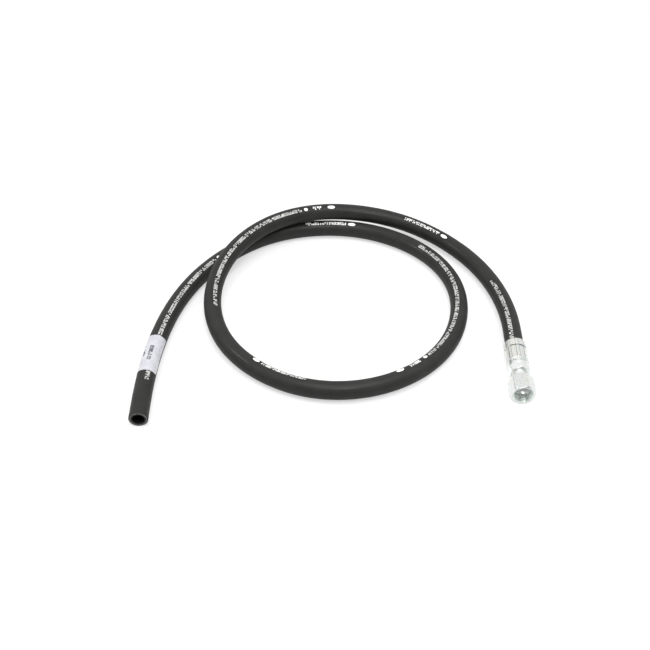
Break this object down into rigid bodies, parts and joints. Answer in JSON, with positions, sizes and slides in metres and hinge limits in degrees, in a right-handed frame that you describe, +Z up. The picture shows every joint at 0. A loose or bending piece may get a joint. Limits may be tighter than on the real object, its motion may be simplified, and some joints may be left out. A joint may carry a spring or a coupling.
{
  "type": "hydraulic hose assembly",
  "caption": "Black textile-braided hydraulic hose lying in a loose loop, with a crimped ferrule and a threaded swivel nut on its end, for carrying fluid under pressure.",
  "frame": {"origin": "on the surface the hose lies on, under the middle of the metal fitting", "axes": "+Z up, +Y along the fitting from the front of the nut towards the hose, so the nut faces -Y and the loop lies towards +Y and -X"},
  "size_m": [0.4134, 0.3511, 0.0411],
  "materials": {
    "cover_rubber": "matt black rubber with a fine cloth-wrap impression",
    "tube_rubber": "smooth black rubber",
    "braid_yarn": "grey braided yarn set in rubber",
    "label_paper": "bluish-white printed label under clear film",
    "zinc_plate": "bright zinc-plated steel",
    "wire_steel": "drawn steel wire"
  },
  "bodies": {
    "hose_and_stem": {"hose_inner_tube": "tube_rubber", "hose_textile_braid": "braid_yarn", "hose_outer_cover": "cover_rubber", "hose_label": "label_paper", "crimp_ferrule": "zinc_plate", "hose_stem": "zinc_plate"},
    "thrust_wire": {"thrust_wire": "wire_steel"},
    "swivel_nut": {"swivel_nut": "zinc_plate"}
  },
  "joints": [
    {"name": "nut_play", "type": "slide", "parent": "hose_and_stem", "child": "thrust_wire", "axis": [0, -1, 0], "range_m": [-0.0005, 0.0005]},
    {"name": "nut_spin", "type": "hinge", "parent": "thrust_wire", "child": "swivel_nut", "pos_m": [0, -0.0204, 0.01313], "axis": [0, -1, 0], "continuous": true}
  ]
}
